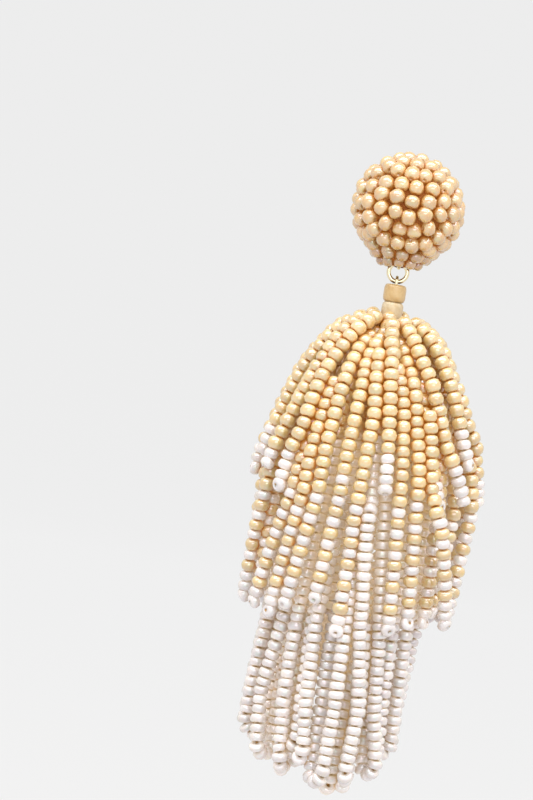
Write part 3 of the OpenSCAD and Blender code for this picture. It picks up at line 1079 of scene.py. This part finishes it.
def ball_places(settings):
    """Where the ball's beads go, their holes in line with the rings' spokes."""
    shell = settings.shell_radius / MM
    chance = np.random.default_rng(BALL_SEED)
    pole = np.array(on_shell(*RINGS_ROUND, shell)) / shell
    charted = np.array([on_shell(side, up, shell) for side, up in BALL_FRONT])
    points = fill_bare(charted, ring_spots(pole, shell), RING_ROOM * shell, shell)
    for _ in range(BALL_ROUNDS):
        points = lie_apart(points, len(charted), shell)
        points = fill_bare(points, even_spots(shell), BALL_ROOM * shell, shell)
    points = lie_apart(points, len(charted), shell)
    toward = pole - (points / shell) * ((points / shell) @ pole)[:, None]
    along = toward / np.maximum(np.linalg.norm(toward, axis=1), 1e-3)[:, None]
    sunken = np.array([on_shell(side, up, shell - SUNKEN_DEPTH) for side, up in BALL_SUNKEN])
    collar = np.array([(r * math.sin(math.radians(a)), -r * math.cos(math.radians(a)), up)
                       for up, r, _, turns in FUNNEL_ROWS for a in turns])
    collar_size = np.concatenate([[scale] * len(turns) for _, _, scale, turns in FUNNEL_ROWS])
    points = np.concatenate([points, sunken, collar])
    along = np.concatenate([along, [(0.0, 0.2, 1.0)] * len(sunken),
                            [(x * 0.3, y * 0.3, 2.0) for x, y, _ in collar]])
    along = along + chance.normal(0, BALL_TILT, along.shape)
    size = 1 + differences(chance, BALL_WIDTH_SPREAD, len(points))
    high = 1 + differences(chance, BALL_LENGTH_SPREAD, len(points))
    tone = chance.uniform(0, 1, len(points))
    # Painted shade under the ball: the funnel's beads get a lower tone.
    tone[-len(collar):] -= FUNNEL_PAINTED_SHADE
    size[-len(collar):] *= collar_size
    high[-len(collar):] *= collar_size
    return {"centre": points * MM + np.array([0, hang_y, 0]), "along": along,
            "size": np.stack([size, size, high], 1), "tone": tone,
            "inside": np.zeros(len(points))}


class EARRING_OT_stage(bpy.types.Operator):
    """Sets the paper, the lights and the camera"""

    bl_idname = "earring.stage"
    bl_label = "Studio"

    def execute(self, context):
        settings = context.scene.earring_stage
        self.roll_out_paper(settings)
        self.hang_lights(context)
        self.place_camera(context, settings)
        context.scene.view_settings.view_transform = "Standard"
        return {"FINISHED"}

    def roll_out_paper(self, settings):
        """A round floor whose edge sweeps up into a wall, far from the earring."""
        deselect_all()
        bpy.ops.mesh.primitive_circle_add(vertices=96, radius=FLOOR_R, fill_type="NGON",
                                          location=(0, hang_y, lowest_z - FLOOR_DROP))
        paper = bpy.context.object
        paper.name = "studio_paper"
        bpy.ops.object.transform_apply(location=True)
        select_where(paper, "edges", lambda edge: True)
        done, rise = FLOOR_R, 0.0
        for i in range(1, SWEEP_STEPS + 1):
            angle = math.pi / 2 * i / SWEEP_STEPS
            wide = FLOOR_R + SWEEP_R * math.sin(angle)
            high = SWEEP_R * (1 - math.cos(angle))
            extrude((0, 0, high - rise), wide / done)
            done, rise = wide, high
        extrude((0, 0, WALL_HIGH))
        turn_faces(inside=True)
        bpy.ops.object.shade_smooth_by_angle(angle=SMOOTH_ANGLE)
        paper.data.materials.append(paper_material("studio paper, matt", settings.floor))

    def hang_lights(self, context):
        """Two long strip boxes above, a weaker panel in front, and a pale sky."""
        aim = Vector((0, hang_y, LAMP_AIM_Z))
        for name, place, wide, high, power in LAMPS:
            data = bpy.data.lights.new(name, "AREA")
            data.shape = "RECTANGLE"
            data.size = wide
            data.size_y = high
            data.energy = power
            data.color = WARM_WHITE
            lamp = linked_object(name, data)
            lamp.location = place
            lamp.rotation_euler = (aim - Vector(place)).to_track_quat("-Z", "Y").to_euler()
        world = bpy.data.worlds.new("sky")
        world.use_nodes = True
        background = world.node_tree.nodes["Background"]
        background.inputs["Color"].default_value = rgba(WHITE)
        background.inputs["Strength"].default_value = SKY_STRENGTH
        context.scene.world = world

    def place_camera(self, context, settings):
        """The camera looks level, back along the post, and is turned a little."""
        data = bpy.data.cameras.new("camera")
        data.lens = settings.lens
        data.clip_start = 0.01
        camera = linked_object("camera", data)
        distance = settings.lens / data.sensor_width * settings.field
        camera.location = (-settings.aim_side, hang_y - distance, -settings.aim_down)
        camera.rotation_euler = (math.pi / 2, -settings.turn, 0)
        context.scene.camera = camera


class EARRING_OT_fittings(bpy.types.Operator):
    """Finishes the post, the wires and the two neck beads"""

    bl_idname = "earring.fittings"
    bl_label = "Post, wires and neck beads"

    def execute(self, context):
        settings = context.scene.earring_finish
        gold = metal_material("gold plate on brass wire, polished", settings.gold,
                              roughness=0.12)
        steel = metal_material("surgical steel, polished", settings.steel, roughness=0.22)
        upper = glaze_material("opaque pressed glass, honey cream", settings.neck_upper)
        lower = glaze_material("opaque pressed glass, pale cream", settings.neck_lower)
        self.press_neck_bead("neck_bead_upper", upper, "neck_upper_glaze", 0)
        self.press_neck_bead("neck_bead_lower", lower, "neck_lower_glaze", NECK_SEAT)
        finishes = {"ear_post": steel, "ball_eye": gold, "jump_ring": gold, "tassel_loop": gold,
                    "neck_bead_upper": upper, "neck_bead_lower": lower}
        for node, material in finishes.items():
            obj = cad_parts[node]
            if not obj.material_slots:
                raise RuntimeError(f"{node} has no material slot")
            obj.material_slots[0].material = material
        return {"FINISHED"}

    def press_neck_bead(self, node, material, slot, seat):
        """A barrel bead with a wide bore, in the place and size of its plain node."""
        low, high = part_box(node)
        high.z += seat
        size = high - low
        bead = model_bead(node + "_barrel", size.x, size.z, NECK_BORE, material, 0.4 * MM,
                          bulge=0.08, segments=32, rounds=4, shoulder=NECK_SHOULDER_SHARE)
        bead.location = (low + high) / 2
        bpy.ops.object.transform_apply(location=True, rotation=False, scale=False)
        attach(bead, "drop")
        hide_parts(node)


class EARRING_OT_ball(bpy.types.Operator):
    """Winds the ball's core and covers it with beads"""

    bl_idname = "earring.ball"
    bl_label = "Beaded ball"

    def execute(self, context):
        settings = context.scene.earring_ball
        finish = context.scene.earring_finish
        core = self.wind_core(settings, finish)
        glass = bead_material("ball seed beads, lustred glass", finish, "ball", finish.cream_painted_glow,
                              deep_shade_factors=(0.6, 0.5, 0.4), inner_painted_glow=0.0, end_lift=0.1,
                              roughness=0.28)
        bead = model_bead("ball bead", settings.bead_width, settings.bead_length, settings.hole,
                          glass, 0.62 * MM)
        beads = string_beads("ball_beads", bead, ball_places(settings))
        bpy.data.objects.remove(bead)
        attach(core, "stud")
        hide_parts("beaded_ball")
        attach(beads, "stud")
        return {"FINISHED"}

    def wind_core(self, settings, finish):
        """A wooden ball wound with thread, flat at the back, with a collar below."""
        deselect_all()
        bpy.ops.mesh.primitive_uv_sphere_add(segments=48, ring_count=24, radius=settings.core_radius,
                                             location=(0, hang_y, 0))
        core = bpy.context.object
        core.name = "ball_core"
        bpy.ops.object.transform_apply(location=True)
        bpy.ops.object.mode_set(mode="EDIT")
        bpy.ops.mesh.select_all(action="SELECT")
        cut = hang_y + BOSS_CUT
        bpy.ops.mesh.bisect(plane_co=(0, cut, 0), plane_no=(0, 1, 0), use_fill=True,
                            clear_outer=True)
        bpy.ops.object.mode_set(mode="OBJECT")
        select_where(core, "polygons", lambda face: face.normal.y > 0.99)
        extrude((0, ball_back - cut, 0))
        bpy.ops.object.mode_set(mode="OBJECT")
        bpy.ops.object.shade_smooth_by_angle(angle=SMOOTH_ANGLE)
        core.data.materials.append(thread_material("nylon winding, brown", finish.core))
        funnel = self.wind_funnel()
        funnel.data.materials.append(core.data.materials[0])
        select_only(core)
        funnel.select_set(True)
        bpy.ops.object.join()
        return core

    def wind_funnel(self):
        """The wound neck under the ball, open below for the eye and the ring."""
        deselect_all()
        low, high, narrow, wide, inside = FUNNEL
        bpy.ops.mesh.primitive_circle_add(vertices=40, radius=narrow, location=(0, hang_y, low))
        funnel = bpy.context.object
        bpy.ops.object.transform_apply(location=True)
        select_where(funnel, "edges", lambda edge: True)
        for rise, scale in ((high - low, wide / narrow), (0, inside / wide), (low - high, 1)):
            extrude((0, 0, rise), scale)
        bpy.ops.object.mode_set(mode="OBJECT")
        points = funnel.data.vertices
        select_where(funnel, "edges", lambda edge: all(abs(points[i].co.z - low) < 0.01 * MM
                                                       for i in edge.vertices))
        bpy.ops.mesh.bridge_edge_loops()
        turn_faces()
        bpy.ops.object.shade_smooth_by_angle(angle=SMOOTH_ANGLE)
        return funnel


class EARRING_OT_tassel(bpy.types.Operator):
    """Strings the three tiers of the tassel"""

    bl_idname = "earring.tassel"
    bl_label = "Tassel"

    def execute(self, context):
        settings = context.scene.earring_tassel
        finish = context.scene.earring_finish
        strands = Strands(settings)
        hang_outer_tier(strands, "upper", upper_line, UPPER_AT, UPPER_DROP, UPPER_FRONT, UPPER_BACK)
        hang_outer_tier(strands, "middle", middle_line, MIDDLE_AT, MIDDLE_DROP, MIDDLE_FRONT,
                        MIDDLE_BACK)
        hang_loops(strands)
        points = settle(strands)
        beads = self.model_beads(settings, finish)
        made = {}
        for name, tier, kind, slot in (
                ("upper_tier_cream_beads", "upper", "cream", "cream_beads"),
                ("upper_tier_white_beads", "upper", "white", "white_beads"),
                ("middle_tier_cream_beads", "middle", "cream", "cream_beads"),
                ("middle_tier_white_beads", "middle", "white", "white_beads"),
                ("lower_tier_cream_beads", "lower", "cream", "cream_beads"),
                ("lower_tier_beads", "lower", "loop", "white_beads")):
            places = strand_places(strands, points, tier, kind)
            made[name] = string_beads(name, beads[kind], places)
        nylon = thread_material("nylon beading thread, beige", finish.thread)
        for tier in ("upper", "middle", "lower"):
            name = f"{tier}_tier_threads"
            made[name] = spin_threads(name, thread_runs(strands, points, tier),
                                      settings.thread / 2, nylon)
        for piece in made.values():
            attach(piece, "drop")
        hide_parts("upper_tier_fringe")
        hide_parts("middle_tier_fringe")
        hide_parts("lower_tier_fringe")
        for bead in beads.values():
            bpy.data.objects.remove(bead)
        return {"FINISHED"}

    def model_beads(self, settings, finish):
        """One bead of each kind, to string many times."""
        cream = bead_material("cream seed beads, lustred glass", finish, "cream",
                              finish.cream_painted_glow, deep_shade_factors=(0.6, 0.5, 0.4), inner_painted_glow=0.25,
                              end_lift=0.1, roughness=0.28)
        white = bead_material("white seed beads, pearl glass", finish, "white",
                              finish.white_painted_glow, deep_shade_factors=(0.78, 0.73, 0.62), inner_painted_glow=1.3,
                              end_lift=0.6, roughness=0.26)
        return {
            "cream": model_bead("cream bead", settings.cream_width, settings.cream_length * SLACK,
                                settings.hole, cream, 0.56 * MM),
            "white": model_bead("white bead", settings.white_width, settings.white_length * SLACK,
                                settings.hole, white, 0.48 * MM),
            "loop": model_bead("loop bead", settings.loop_width, settings.loop_length * SLACK,
                               settings.hole, white, 0.31 * MM, bulge=0.22, segments=10)}


class EARRING_PT_panel(bpy.types.Panel):
    """Lists the earring's steps and settings"""

    bl_idname = "EARRING_PT_panel"
    bl_label = "Tassel earring"
    bl_space_type = "VIEW_3D"
    bl_region_type = "UI"
    bl_category = "Earring"

    def draw(self, context):
        layout = self.layout
        for operator in OPERATORS:
            layout.operator(operator.bl_idname)
        for group in GROUPS:
            box = layout.box()
            settings = getattr(context.scene, group)
            for name in settings.__annotations__:
                box.prop(settings, name)


GROUPS = {"earring_ball": BallSettings, "earring_tassel": TasselSettings,
          "earring_finish": FinishSettings, "earring_stage": StageSettings}
OPERATORS = (EARRING_OT_stage, EARRING_OT_fittings, EARRING_OT_ball, EARRING_OT_tassel)


def register():
    """Registers the classes and hangs the settings on the scene."""
    for cls in (*GROUPS.values(), *OPERATORS, EARRING_PT_panel):
        bpy.utils.register_class(cls)
    for name, cls in GROUPS.items():
        setattr(bpy.types.Scene, name, PointerProperty(type=cls))


def unregister():
    """Takes the settings and the classes away again."""
    for name in GROUPS:
        delattr(bpy.types.Scene, name)
    for cls in reversed((*GROUPS.values(), *OPERATORS, EARRING_PT_panel)):
        bpy.utils.unregister_class(cls)


def main():
    """Builds the earring and its studio."""
    register()
    bpy.ops.earring.stage()
    bpy.ops.earring.fittings()
    bpy.ops.earring.ball()
    bpy.ops.earring.tassel()


if __name__ == "__main__":
    main()
